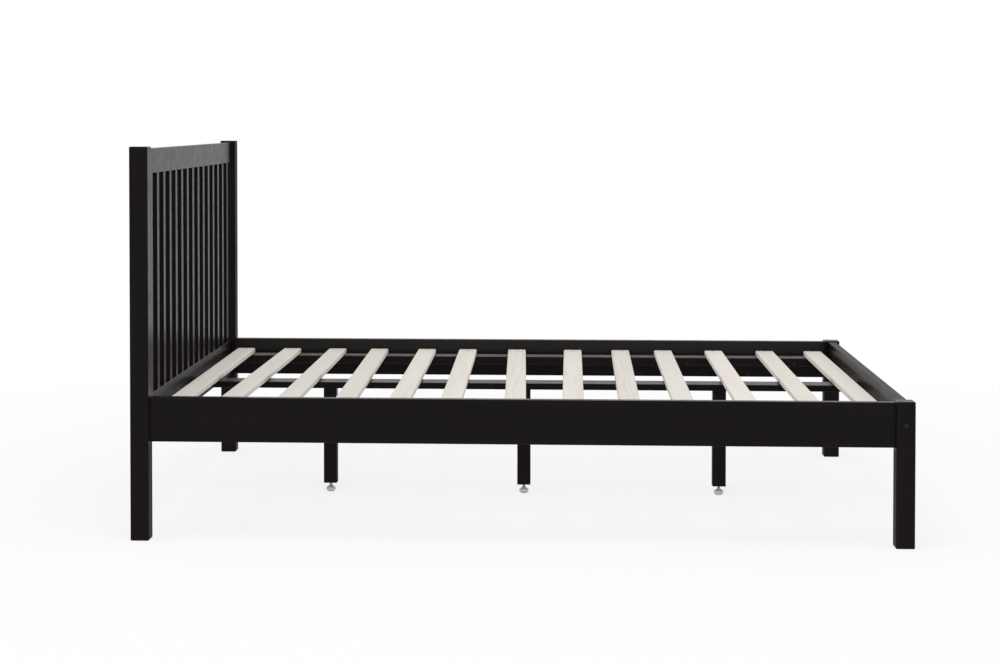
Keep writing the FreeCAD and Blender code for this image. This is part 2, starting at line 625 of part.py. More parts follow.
beam = new_body("centre_beam", "places.beam_x", "0", "places.beam_under + dims.beam_thick / 2")
section = sketch_at(beam, "X")
rectangle(section, "0", "0", "dims.beam_wide", "dims.beam_thick")
ease(beam, pad(beam, section, "places.beam_long"), "X", "dims.beam_ease")
leg_holes = [
    (f"{end} * dims.leg_spacing - places.beam_x", way) for name, end in LEGS for way in leg_screw_ways
]
countersink(beam, "Z", "dims.beam_thick / 2", -1, leg_holes,
            "places.leg_screw_hole_wide", "places.leg_sink_wide")
bracket_holes = [
    (f"{end} * (places.beam_long / 2 + dims.beam_end_gap - places.bracket_hole_x)", way)
    for end in (-1, 1) for way in bracket_ways
]
drill(beam, "Z", "-dims.beam_thick / 2", 1, bracket_holes,
      "places.screw_hole_wide", "dims.bracket_screw_bite + dims.joint_room")
keep(beam)


def beam_bracket(label, face, way):
    """An angle bracket under the end of the beam, with two screws in each arm."""
    body = new_body(label, face, "0", "places.beam_under")
    profile = sketch_at(body, "Y")
    polygon(profile, [
        ("0", "0"),
        (f"{way} * dims.bracket_reach", "0"),
        (f"{way} * dims.bracket_reach", "-dims.bracket_thick"),
        (f"{way} * dims.bracket_thick", "-dims.bracket_thick"),
        (f"{way} * dims.bracket_thick", "-dims.bracket_drop"),
        ("0", "-dims.bracket_drop"),
    ])
    angle = pad(body, profile, "dims.bracket_wide")
    edges = {name: angle.Shape.getElement(name).Vertexes[0] for name in edges_along(angle.Shape, "Y")}
    by_depth = sorted(edges, key=lambda name: max(abs(edges[name].X), abs(edges[name].Z)))
    rounding = body.newObject("PartDesign::Fillet", "bend")
    rounding.Base = (angle, by_depth[1:2])
    bind(rounding, Radius="dims.bracket_bend")
    hole_wide = "dims.screw_wide + 2 * dims.bracket_hole_play"
    beam_holes = [(f"{way} * places.bracket_hole_x", across) for across in bracket_ways]
    rail_holes = [(across, "-places.bracket_hole_z") for across in bracket_ways]
    drill(body, "Z", "0", -1, beam_holes, hole_wide)
    drill(body, "X", "0", way, rail_holes, hole_wide)
    return keep(body)


beam_bracket("beam_bracket_head", "places.head_rail_face", 1)
beam_bracket("beam_bracket_foot", "places.foot_rail_face", -1)

for name, end in LEGS:
    leg = new_body(f"centre_leg_{name}", f"{end} * dims.leg_spacing", "0", "dims.leg_clear")
    section = sketch_at(leg, "Z")
    rectangle(section, "0", "0", "dims.leg_side", "dims.leg_side")
    ease(leg, pad(leg, section, "places.leg_tall", both_ways=False), "Z", "dims.leg_ease")
    drill(leg, "Z", "places.leg_tall", -1, [("0", way) for way in leg_screw_ways],
          "places.leg_screw_hole_wide", "dims.leg_screw_bite + dims.joint_room")
    drill(leg, "Z", "0", 1, [("0", "0")], "dims.stud_wide + 2 * dims.stud_hole_play", "places.stud_hole_deep")
    drill(leg, "Z", "0", 1, [("0", "0")], "dims.insert_wide + 2 * dims.snug_fit", "dims.insert_long")
    keep(leg)


# Levelling feet: the stud turns on the pad, and its thread lifts or lowers both

for name, end in LEGS:
    stud = new_body(f"levelling_stud_{name}", f"{end} * dims.leg_spacing", "0", "0")
    turned(stud, [
        ("0", "places.thread_bottom"),
        ("dims.stud_wide / 2", "places.thread_bottom"),
        ("dims.stud_wide / 2", "places.stud_top - dims.stud_chamfer"),
        ("dims.stud_wide / 2 - dims.stud_chamfer", "places.stud_top"),
        ("0", "places.stud_top"),
    ])
    collar = sketch_at(stud, "Z", "dims.pad_tall")
    hexagon(collar, "dims.collar_wide")
    pad(stud, collar, "dims.collar_tall", both_ways=False)
    journal = sketch_at(stud, "Z", "dims.pad_tall - dims.journal_long")
    circles(journal, [("0", "0")], "dims.journal_wide")
    pad(stud, journal, "dims.journal_long", both_ways=False)
    keep(stud)

for name, end in LEGS:
    foot_pad = new_body(f"levelling_pad_{name}", f"{end} * dims.leg_spacing", "0", "0")
    socket = "dims.journal_wide / 2 + dims.running_fit"
    turned(foot_pad, [
        ("0", "0"),
        ("dims.pad_wide / 2 - dims.pad_foot_step", "0"),
        ("dims.pad_wide / 2", "dims.pad_foot_step"),
        ("dims.pad_wide / 2", "dims.pad_rim_tall"),
        ("dims.pad_top_wide / 2", "dims.pad_tall"),
        (socket, "dims.pad_tall"),
        (socket, "places.socket_floor"),
        ("0", "places.socket_floor"),
    ])
    keep(foot_pad)


# Fasteners: one pattern of each kind, with its head at the origin and its length along +Z

def headed_pin(label, corners):
    """A pattern turned from an outline, which stays out of the list of pieces."""
    body = new_body(label)
    turned(body, corners)
    return body


def cross_recess(body, deep_from):
    """A cross recess in a screw head."""
    for across in (False, True):
        arm = sketch_at(body, "Z", deep_from)
        sizes = ("dims.screw_cross_long", "dims.screw_cross_wide")
        rectangle(arm, "0", "0", *(sizes[::-1] if across else sizes))
        pocket(body, arm, "Z", 1, "dims.screw_cross_deep")


def countersunk_screw(label, wide, head_wide, long):
    """A wood screw with a flat head and a point."""
    screw = headed_pin(label, [
        ("0", "0"),
        (f"{head_wide} / 2", "0"),
        (f"{wide} / 2", f"({head_wide} - {wide}) / 2"),
        (f"{wide} / 2", f"{long} - dims.screw_point"),
        ("0", long),
    ])
    cross_recess(screw, "0")
    return screw


bolt_pattern = headed_pin("bed_bolt_pattern", [
    ("0", "-dims.bolt_head_tall"),
    ("dims.bolt_head_wide / 2", "-dims.bolt_head_tall"),
    ("dims.bolt_head_wide / 2", "0"),
    ("dims.bolt_wide / 2", "0"),
    ("dims.bolt_wide / 2", "dims.bolt_long"),
    ("0", "dims.bolt_long"),
])
key = sketch_at(bolt_pattern, "Z", "-dims.bolt_head_tall")
hexagon(key, "dims.bolt_key_wide")
pocket(bolt_pattern, key, "Z", 1, "dims.bolt_key_deep")

cap_radius = "(dims.recess_wide / 2 - dims.snug_fit)"
cap_pattern = headed_pin("bolt_cap_pattern", [
    ("0", "0"),
    (f"{cap_radius} - dims.cap_chamfer", "0"),
    (cap_radius, "dims.cap_chamfer"),
    (cap_radius, "dims.cap_thick"),
    ("0", "dims.cap_thick"),
])

nut_pattern = headed_pin("barrel_nut_pattern", [
    ("0", "-dims.nut_long / 2"),
    ("dims.nut_wide / 2", "-dims.nut_long / 2"),
    ("dims.nut_wide / 2", "dims.nut_long / 2"),
    ("0", "dims.nut_long / 2"),
])
drill(nut_pattern, "X", "-dims.nut_wide / 2", 1, [("0", "0")], "dims.bolt_wide + 2 * dims.running_fit")

dowel_pattern = headed_pin("dowel_pattern", [
    ("0", "-dims.dowel_long / 2"),
    ("dims.dowel_wide / 2 - dims.dowel_chamfer", "-dims.dowel_long / 2"),
    ("dims.dowel_wide / 2", "dims.dowel_chamfer - dims.dowel_long / 2"),
    ("dims.dowel_wide / 2", "dims.dowel_long / 2 - dims.dowel_chamfer"),
    ("dims.dowel_wide / 2 - dims.dowel_chamfer", "dims.dowel_long / 2"),
    ("0", "dims.dowel_long / 2"),
])

slat_screw_pattern = countersunk_screw("slat_screw_pattern", "dims.screw_wide", "dims.screw_head_wide",
                                       "(dims.slat_thick + dims.slat_screw_bite)")
ledger_screw_pattern = countersunk_screw("ledger_screw_pattern", "dims.screw_wide", "dims.screw_head_wide",
                                         "(dims.ledger_wide + dims.ledger_screw_bite)")
leg_screw_pattern = countersunk_screw("leg_screw_pattern", "dims.leg_screw_wide", "dims.leg_screw_head_wide",
                                      "(dims.beam_thick + dims.leg_screw_bite)")

bracket_screw_long = "(dims.bracket_thick + dims.bracket_screw_bite)"
bracket_screw_pattern = headed_pin("bracket_screw_pattern", [
    ("0", "-dims.bracket_screw_head_tall"),
    ("dims.screw_head_wide / 2 - dims.bracket_screw_head_tall / 2", "-dims.bracket_screw_head_tall"),
    ("dims.screw_head_wide / 2", "-dims.bracket_screw_head_tall / 2"),
    ("dims.screw_head_wide / 2", "0"),
    ("dims.screw_wide / 2", "0"),
    ("dims.screw_wide / 2", f"{bracket_screw_long} - dims.screw_point"),
    ("0", bracket_screw_long),
])
cross_recess(bracket_screw_pattern, "-dims.bracket_screw_head_tall")

insert_bore = "dims.stud_wide / 2 + dims.running_fit"
insert_pattern = headed_pin("leg_insert_pattern", [
    (insert_bore, "0"),
    ("dims.insert_wide / 2", "0"),
    ("dims.insert_wide / 2", "dims.insert_long"),
    (insert_bore, "dims.insert_long"),
])

bolts = []
caps = []
nuts = []
dowels = []
for side in (-1, 1):
    rail_y = f"{side} * places.side_rail_y"
    for end in (-1, 1):
        inward = along(-end, 0, 0)
        for level in bolt_levels:
            z = f"places.rail_middle + {level}"
            bolts.append((f"{end} * (places.bed_length / 2 - places.recess_deep)", rail_y, z, inward))
            caps.append((f"{end} * places.bed_length / 2", rail_y, z, inward))
            nuts.append((f"{end} * (places.span_x / 2 - dims.nut_setback)", rail_y, z, along(0, side, 0)))
        dowels.append((f"{end} * places.span_x / 2", rail_y, "places.rail_middle", inward))
    inward = along(0, -side, 0)
    bolts.append(("places.foot_rail_x", f"{side} * (places.bed_width / 2 - places.recess_deep)",
                  "places.rail_middle", inward))
    caps.append(("places.foot_rail_x", f"{side} * places.bed_width / 2", "places.rail_middle", inward))
    nuts.append(("places.foot_rail_x", f"{side} * (places.span_y / 2 - dims.nut_setback)",
                 "places.rail_middle", FreeCAD.Rotation(Vector(1, 1, 1), 120)))
    for level in dowel_levels:
        dowels.append(("places.foot_rail_x", f"{side} * places.span_y / 2",
                       f"places.rail_middle + {level}", inward))

group_of("bed_bolts", bolt_pattern, bolts)
group_of("bolt_caps", cap_pattern, caps)
group_of("barrel_nuts", nut_pattern, nuts)
group_of("rail_dowels", dowel_pattern, dowels)

down = along(0, 0, -1)
group_of("slat_screws", slat_screw_pattern, [
    (x, f"{side} * places.ledger_y", "places.slat_top", down) for side in (-1, 1) for x in slat_ends[side]
])
group_of("ledger_screws", ledger_screw_pattern, [
    (x, f"{side} * (places.ledger_y - dims.ledger_wide / 2)", "places.ledger_screw_z", along(0, side, 0))
    for side in (-1, 1) for x in ledger_screw_places
])
group_of("leg_screws", leg_screw_pattern, [
    (f"{end} * dims.leg_spacing", way, "places.slat_under", down)
    for name, end in LEGS for way in leg_screw_ways
])
bracket_screws = []
for face, way in (("places.head_rail_face", 1), ("places.foot_rail_face", -1)):
    for across in bracket_ways:
        bracket_screws.append((f"{face} + {way} * dims.bracket_thick", across,
                               "places.beam_under - places.bracket_hole_z", along(-way, 0, 0)))
        bracket_screws.append((f"{face} + {way} * places.bracket_hole_x", across,
                               "places.beam_under - dims.bracket_thick", along(0, 0, 1)))
group_of("bracket_screws", bracket_screw_pattern, bracket_screws)
group_of("leg_inserts", insert_pattern, [
    (f"{end} * dims.leg_spacing", "0", "dims.leg_clear", along(0, 0, 1)) for name, end in LEGS
])

# Check the whole document, then write each piece

doc.recompute()
for item in doc.Objects:
    if "Invalid" in item.State or "Error" in item.State:
        raise RuntimeError(f"{item.Label} failed: {item.State}")
for piece in parts:
    if piece.Shape.isNull() or not piece.Shape.isValid() or not piece.Shape.Solids:
        raise RuntimeError(f"{piece.Label} has no valid solid")

os.makedirs("parts", exist_ok=True)
for piece in parts:
    piece.Shape.exportStep(f"parts/{piece.Label}.step")
print(len(parts), "pieces, tenon length", places.tenon_long, "spindle pitch", places.spindle_pitch)
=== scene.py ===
# %% [markdown]
# A slatted bed frame, from bare solids to a studio picture
#
# The object is a double bed frame of square timber under black lacquer: a headboard of flat
# spindles, two side rails, a foot rail, and pale bare slats on a centre beam with three legs.
# Its pieces arrive as finished solids, each at its real size and place, so this lesson is about
# what comes next: wood grain, lacquer, steel and plastic made from shader nodes, three kinds of
# small part that deserve a finer mesh, and the light and lens of a plain studio.
#
# Everything is in metres. X runs along the bed with the headboard at -X, Y runs across it, and the
# floor is at Z = 0. The cells run in order, and each one after the first prints what it made.

# %% Load the frame
import json
import math

import bmesh
import bpy
from mathutils import Matrix, Vector

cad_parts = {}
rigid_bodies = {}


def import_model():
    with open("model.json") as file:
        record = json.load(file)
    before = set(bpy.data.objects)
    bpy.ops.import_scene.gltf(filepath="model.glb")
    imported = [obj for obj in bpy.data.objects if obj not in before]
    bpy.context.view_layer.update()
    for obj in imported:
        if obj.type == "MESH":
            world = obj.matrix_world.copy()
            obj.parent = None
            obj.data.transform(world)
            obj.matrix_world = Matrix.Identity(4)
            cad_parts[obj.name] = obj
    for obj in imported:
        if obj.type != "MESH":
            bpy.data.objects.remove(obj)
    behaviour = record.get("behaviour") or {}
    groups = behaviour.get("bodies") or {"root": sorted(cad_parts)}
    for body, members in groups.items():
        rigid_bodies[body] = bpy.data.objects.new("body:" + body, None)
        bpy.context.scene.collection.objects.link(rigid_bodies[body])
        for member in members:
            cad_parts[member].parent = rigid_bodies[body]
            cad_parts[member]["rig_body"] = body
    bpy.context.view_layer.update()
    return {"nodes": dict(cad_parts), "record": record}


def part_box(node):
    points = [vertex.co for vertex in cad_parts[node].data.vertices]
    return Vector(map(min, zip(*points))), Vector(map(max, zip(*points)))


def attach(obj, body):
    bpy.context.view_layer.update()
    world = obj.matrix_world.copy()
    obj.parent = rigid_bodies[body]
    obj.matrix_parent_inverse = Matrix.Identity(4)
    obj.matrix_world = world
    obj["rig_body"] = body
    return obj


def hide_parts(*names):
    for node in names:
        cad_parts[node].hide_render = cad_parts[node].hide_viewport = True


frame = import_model()

# %% [markdown]
# A short way to write shader nodes
#
# A material in Blender is a small graph. Clicking one together in the editor is quick, but a graph
# that is written down can be read, repeated and turned to another direction. A few helpers keep that
# short. The first adds a node, with its settings by name and its inputs as values or as links. Two
# more start an empty material and send a shader to its output. The rest are the small sums that
# every finish needs, such as moving a value to another range or mixing two colours. A number that is
# the same all over a surface goes straight on the shader's own socket, where anyone who opens the
# file will look for it.

# %% Node helpers
def add(tree, kind, inputs=None, **settings):
    """One shader node. An input is a value, or an output socket to link from."""
    made = tree.nodes.new("ShaderNode" + kind)
    for name, value in settings.items():
        setattr(made, name, value)
    for name, value in (inputs or {}).items():
        if isinstance(value, bpy.types.NodeSocket):
            tree.links.new(value, made.inputs[name])
        else:
            made.inputs[name].default_value = value
    return made


def new_material(name):
    """An empty material, and its node tree."""
    material = bpy.data.materials.new(name)
    material.use_nodes = True
    material.node_tree.nodes.clear()
    return material, material.node_tree


def show(tree, shader):
    """Send a shader to the material's output."""
    add(tree, "OutputMaterial", {"Surface": shader.outputs[0]})


def between(tree, value, low, high, start=0.0, end=1.0):
    """A value from start to end, moved to the range from low to high."""
    spans = {"Value": value, "From Min": start, "From Max": end, "To Min": low, "To Max": high}
    return add(tree, "MapRange", spans).outputs[0]


def rise(tree, value, limits):
    """A value that rises from 0 at the first limit to 1 at the second."""
    return between(tree, value, 0.0, 1.0, *limits)


def blend(tree, share, first, second):
    """Two colours mixed by a share: 0 is the first, 1 is the second."""
    return add(tree, "Mix", {0: share, 6: first, 7: second}, data_type="RGBA").outputs[2]


def product(tree, first, second):
    """Two values multiplied."""
    return add(tree, "Math", {0: first, 1: second}, operation="MULTIPLY").outputs[0]


def larger(tree, first, second):
    """The larger of two values."""
    return add(tree, "Math", {0: first, 1: second}, operation="MAXIMUM").outputs[0]


def parts(tree, vector):
    """The X, Y and Z of a vector."""
    return add(tree, "SeparateXYZ", {0: vector}).outputs


print("node helpers ready")

# %% [markdown]
# Grain is a solid pattern
#
# Wood is not a picture glued to a board. A tree grows in rings, a board is a box cut out of those
# rings, and every face shows its own slice: long streaks on the sides, arcs on the ends. So the
# pattern is worked out in space, from Object coordinates, and the board cuts through it. Two things
# are needed. Streaks are noise that is stretched along the grain. Rings are the distance from a far
# line, the pith of the tree, divided by the width of a year and bent a little by slow noise.
#
# An image of wood would need unwrapping, repeats after a metre, and never meets at an edge.

# %% Streaks and rings
AXES = {"x": 0, "y": 1, "z": 2}
STREAK_ROUGHNESS = 0.55
BEND_COUNTS = (0.9, 7.0)
NOISE_MIDDLE = (0.5, 0.5, 0.5)
# Places within a year, and how dark the wood is there.
YEAR_STOPS = ((0.55, 0.22), (0.9, 1.0))
BLACK = (0.0, 0.0, 0.0, 1.0)


def by_grain(grain, along, across):
    """A triple with one value along the grain, and another on the two axes across it."""
    return [along if number == AXES[grain] else across for number in range(3)]


def streaks(tree, place, grain, counts, detail=3.0):
    """Noise stretched along the grain. The counts are streaks to the metre, along and across it."""
    spread = add(tree, "Mapping", {"Vector": place, "Scale": by_grain(grain, *counts)})
    return add(tree, "TexNoise", {
        "Vector": spread.outputs[0], "Scale": 1.0, "Detail": detail, "Roughness": STREAK_ROUGHNESS,
    }).outputs


def rings(tree, place, grain, pith, year, waver):
    """Growth rings about a line along the grain: pale spring wood that darkens to a sharp edge."""
    slow = streaks(tree, place, grain, BEND_COUNTS, detail=2.0)["Color"]
    centred = add(tree, "VectorMath", {0: slow, 1: NOISE_MIDDLE}, operation="SUBTRACT")
    bend = add(tree, "VectorMath", {0: centred.outputs[0], "Scale": waver}, operation="SCALE")
    from_pith = add(tree, "VectorMath", {0: place, 1: pith}, operation="SUBTRACT")
    bent = add(tree, "VectorMath", {0: from_pith.outputs[0], 1: bend.outputs[0]}, operation="ADD")
    flat = add(tree, "VectorMath", {0: bent.outputs[0], 1: by_grain(grain, 0, 1)}, operation="MULTIPLY")
    reach = add(tree, "VectorMath", {0: flat.outputs[0]}, operation="LENGTH").outputs["Value"]
    years = product(tree, reach, 1 / year)
    within = add(tree, "Math", {0: years}, operation="FRACT").outputs[0]
    ramp = add(tree, "ValToRGB", {"Fac": within})
    ramp.color_ramp.interpolation = "EASE"
    first, last = ramp.color_ramp.elements
    first.color = last.color = BLACK
    for position, dark in YEAR_STOPS:
        ramp.color_ramp.elements.new(position).color = (dark, dark, dark, 1.0)
    return ramp.outputs["Color"]


print("grain runs along one of", sorted(AXES))

# %% [markdown]
# Noise and relief
#
# Two more helpers serve every finish. Even noise makes clouds, patches and specks, and its scale
# says how many of them fit in a metre. Bump shades a surface as if it rose and fell by a small
# depth, and adds no faces for it. That suits pores and grit, which are far too fine to show in an
# outline. What does show in an outline, such as the thread of a screw, is modelled further down.

# %% Even noise and bump
# Nearly all of a noise lies between these two values.
NOISE_SPAN = (0.3, 0.7)


def noise(tree, place, scale, detail):
    """Noise that is alike in all directions."""
    return add(tree, "TexNoise", {"Vector": place, "Scale": scale, "Detail": detail}).outputs[0]


def relief(tree, height, strength, depth, under=None):
    """A normal that follows a height, laid over another normal where one is given."""
    inputs = {"Strength": strength, "Distance": depth, "Height": height}
    if under is not None:
        inputs["Normal"] = under
    return add(tree, "Bump", inputs).outputs[0]


print("noise is read from", NOISE_SPAN[0], "to", NOISE_SPAN[1])

# %% [markdown]
# Black lacquer
#
# The timbers are sprayed in a black-brown lacquer, thin enough for the grain to stay readable when
# light skims over it. Seen straight on it is nearly black. Seen at a low angle, as on the headboard
# and on the tops of the rails, it turns grey, because any smooth coat mirrors more the flatter the
# view. The shader does that by itself, so no grey is painted on them: the base stays dark, the
# specular level is low, as on a matt coat, and the roughness spreads the mirrored studio to a haze.
#
# Three small things keep it from being plain black. The colour drifts a little along the streaks.
# Pores and rings push the surface in by about a hundredth of a millimetre, through bump. And where
# an edge was eased, the coat is thinner and browner. A rounded edge is easy to find on square timber:
# its normal points along no axis, so the largest part of the normal falls below one.

# %% Colour and relief of the lacquer
LACQUER_DARK = (0.0044, 0.0026, 0.0034, 1.0)
LACQUER_BROWN = (0.0068, 0.0042, 0.0048, 1.0)
# A browner, lighter colour for rubbed edges and dull zones; on the lower posts it is also painted bounce
# light.
LACQUER_WEAR_AND_BOUNCE = (0.0300, 0.0190, 0.0150, 1.0)
DRIFT_COUNTS = (2.2, 46.0)
DRIFT_LIMITS = (0.32, 0.70)
EDGE_LIMITS = (0.985, 0.80)
EDGE_PATCH_LIMITS = (0.50, 0.68)
EDGE_RUBBED_SHARE = 0.55
# Its share where the coat is dull: scuffing, and painted bounce light from the floor.
DULL_SCUFF_AND_BOUNCE_SHARE = 0.10
TIMBER_PITH = (0.21, 0.13, -0.17)
TIMBER_YEAR = 0.0046
TIMBER_WAVER = 0.02
PORE_COUNTS = (26.0, 1500.0)
PEEL_SCALE = 700.0
# Strength and depth of each layer of bump.
RING_RELIEF = (0.04, 0.0004)
PORE_RELIEF = (0.06, 0.0001)
PEEL_RELIEF = (0.05, 0.0001)


def eased_edges(tree, normal):
    """A mask of the rounded edges of square timber, from the normal in object space."""
    size = add(tree, "VectorMath", {0: normal}, operation="ABSOLUTE")
    part = parts(tree, size.outputs[0])
    largest = larger(tree, larger(tree, part["X"], part["Y"]), part["Z"])
    return rise(tree, largest, EDGE_LIMITS)


def coat_colour(tree, source, grain, patch, dull):
    """Nearly black, drifting along the grain, browner on rubbed edges, and where it is dull a lighter
    brown: scuffing, and painted bounce light.
    """
    drift = streaks(tree, source["Object"], grain, DRIFT_COUNTS)[0]
    coat = blend(tree, rise(tree, drift, DRIFT_LIMITS), LACQUER_DARK, LACQUER_BROWN)
    edges = product(tree, eased_edges(tree, source["Normal"]), rise(tree, patch, EDGE_PATCH_LIMITS))
    # Edge wear, and in dull zones scuffing with painted bounce light.
    wear_and_bounce = larger(tree, product(tree, edges, EDGE_RUBBED_SHARE), product(tree, dull, DULL_SCUFF_AND_BOUNCE_SHARE))
    return blend(tree, wear_and_bounce, coat, LACQUER_WEAR_AND_BOUNCE)


def coat_relief(tree, place, grain):
    """Rings and pores of the timber, and over them the fine peel of a sprayed coat."""
    years = rings(tree, place, grain, TIMBER_PITH, TIMBER_YEAR, TIMBER_WAVER)
    pores = streaks(tree, place, grain, PORE_COUNTS, detail=2.0)[0]
    peel = noise(tree, place, PEEL_SCALE, detail=1.0)
    ringed = relief(tree, years, *RING_RELIEF)
    pored = relief(tree, pores, *PORE_RELIEF, under=ringed)
    return relief(tree, peel, *PEEL_RELIEF, under=pored)


print("timber: a ring every", 1000 * TIMBER_YEAR, "mm")

# %% [markdown]
# Where the coat is dull
#
# The coat is not equally smooth everywhere. Below the rails, where posts and legs are scuffed by
# shoes and brooms, it is dull and stays dark at a low angle, and its colour is a shade browner and
# lighter: scuffing, and painted bounce light from the floor. The two end rails are dull up to the
# height where bedding is tucked in, and the top of the foot rail is rubbed by hands. One headboard
# post comes from a duller batch than its twin. The ledgers under the slats are dull all over, and
# their tops carry a painted highlight, a pale grey that shows as a pale line between the slats. One
# mask of dullness serves all of these: it raises the roughness of the coat. The side rails carry
# painted bounce light, a faint lighter colour, on the faces that look inwards above the slats. Such
# a face is found by its place and its normal, which point opposite ways across the bed.

# %% The lacquer
LACQUER_SPECULAR = 0.09
SMOOTH_ROUGHNESS = (0.28, 0.36)
DULL_ROUGHNESS = (0.56, 0.64)
PATCH_SCALE = 34.0
# Dull below the first height, smooth above the second.
SCUFFED_POSTS = (0.24, 0.27)
SCUFFED_END_RAILS = (0.325, 0.352)
SCUFFED_ALL_OVER = (1.1, 1.2)
UPWARD_LIMITS = (0.25, 0.55)
RUBBED_TOP_SHARE = 0.45
# Painted highlight on the ledger tops: its pale grey, and its faintest share.
LACQUER_PAINTED_HIGHLIGHT = (0.1750, 0.1680, 0.1650, 1.0)
PAINTED_HIGHLIGHT_FAINTEST = 0.65
# Painted bounce light on the inner faces of the side rails: a faint lighter colour.
LACQUER_PAINTED_BOUNCE = (0.0192, 0.0168, 0.0158, 1.0)
INWARD_LIMITS = (-0.2, -0.5)
ABOVE_SLATS_LIMITS = (0.322, 0.340)


def upward(tree, normal):
    """A mask of the faces that look up."""
    return rise(tree, parts(tree, normal)["Z"], UPWARD_LIMITS)


def inner_faces_above_slats(tree, place, normal):
    """A mask of the faces that look towards the centre line, from the tops of the slats upwards."""
    spot = parts(tree, place)
    outward = product(tree, spot["Y"], parts(tree, normal)["Y"])
    return product(tree, rise(tree, outward, INWARD_LIMITS), rise(tree, spot["Z"], ABOVE_SLATS_LIMITS))


def black_lacquer(name, grain, top="smooth", inside="smooth", scuffed=SCUFFED_POSTS):
    """Black-brown lacquer, with the grain along one axis.

    Its top is smooth or rubbed, or carries a painted highlight in pale grey; the faces that look inwards
    above the slats are smooth or carry painted bounce light.
    """
    material, tree = new_material(name)
    source = add(tree, "TexCoord").outputs
    place, normal = source["Object"], source["Normal"]
    patch = noise(tree, place, PATCH_SCALE, detail=4.0)
    dull = between(tree, parts(tree, place)["Z"], 1.0, 0.0, *scuffed)
    colour = coat_colour(tree, source, grain, patch, dull)
    # Painted bounce light: the inner faces above the slats get a lighter colour.
    if inside == "painted_bounce":
        colour = blend(tree, inner_faces_above_slats(tree, place, normal), colour, LACQUER_PAINTED_BOUNCE)
    if top == "rubbed":
        dull = larger(tree, dull, product(tree, upward(tree, normal), RUBBED_TOP_SHARE))
    # Painted highlight: a pale grey on the upward faces, shown as a line between the slats.
    if top == "painted_highlight":
        painted_highlight_share = product(tree, upward(tree, normal), between(tree, patch, PAINTED_HIGHLIGHT_FAINTEST, 1.0, *NOISE_SPAN))
        colour = blend(tree, painted_highlight_share, colour, LACQUER_PAINTED_HIGHLIGHT)
    low, high = [between(tree, dull, *pair) for pair in zip(SMOOTH_ROUGHNESS, DULL_ROUGHNESS)]
    show(tree, add(tree, "BsdfPrincipled", {
        "Base Color": colour, "Roughness": between(tree, patch, low, high, *NOISE_SPAN),
        "Normal": coat_relief(tree, place, grain), "Specular IOR Level": LACQUER_SPECULAR,
    }))
    return material


print("lacquer: roughness", SMOOTH_ROUGHNESS, "where smooth,", DULL_ROUGHNESS, "where dull")

# %% [markdown]
# A lacquer for every timber
#
# Most timbers share one of three lacquers, which differ only in the way of the grain. Seven timbers
# are worn, or carry painted light, in the ways told above, and five more lacquers serve those. They
# are listed by the name of the piece, so that one look tells which piece is worn or painted and how.

# %% Lacquers of the timbers
lacquers = {grain: black_lacquer("lacquer_along_" + grain, grain) for grain in AXES}
# Ledgers: dull all over, with a painted highlight on their tops.
ledger_lacquer = black_lacquer("ledger_lacquer", "x", top="painted_highlight", scuffed=SCUFFED_ALL_OVER)
# Side rails: painted bounce light on their inner faces.
side_rail_lacquer = black_lacquer("side_rail_lacquer", "x", inside="painted_bounce")
own_lacquers = {
    "foot_rail": black_lacquer("foot_rail_lacquer", "y", top="rubbed", scuffed=SCUFFED_END_RAILS),
    "headboard_lower_rail": black_lacquer("lower_rail_lacquer", "y", scuffed=SCUFFED_END_RAILS),
    "headboard_post_right": black_lacquer("dull_post_lacquer", "z", scuffed=SCUFFED_ALL_OVER),
    "side_rail_left": side_rail_lacquer,
    "side_rail_right": side_rail_lacquer,
    "slat_ledger_left": ledger_lacquer,
    "slat_ledger_right": ledger_lacquer,
}
print("lacquers:", sorted({material.name for material in (*lacquers.values(), *own_lacquers.values())}))

# %% [markdown]
# Bare wood
#
# The slats are planed and left bare, pale and slightly warm. At arm's length one sees quiet rings
# and a fine fibre; from across the room only a soft variation from slat to slat. One pith line
# serves all thirteen slats: it lies below the bed, so a slat near the middle is cut flat across the
# rings and one near an end is cut at a slant, just as boards from one log differ. A slow noise along
# the bed then gives each slat its own tone. The dowels are turned from a browner wood, and need only
# other colours and a nearer pith.

# %% Slat wood and dowel wood
BARE_WAVER = 0.016
FIBRE_COUNTS = (30.0, 900.0)
FLAME_COUNTS = (3.0, 60.0)
TONE_COUNTS = (0.15, 5.2)
RING_SHARE = 0.42
FLAME_SHARE = 0.34
FLAME_LIMITS = (0.42, 0.75)
FIBRE_SHARE = 0.30
FIBRE_LIMITS = (0.45, 0.80)
TONE_RANGE = (0.92, 1.06)
FIBRE_RELIEF = (0.35, 0.0002)
BARE_ROUGHNESS = (0.58, 0.78)
BARE_SPECULAR = 0.25


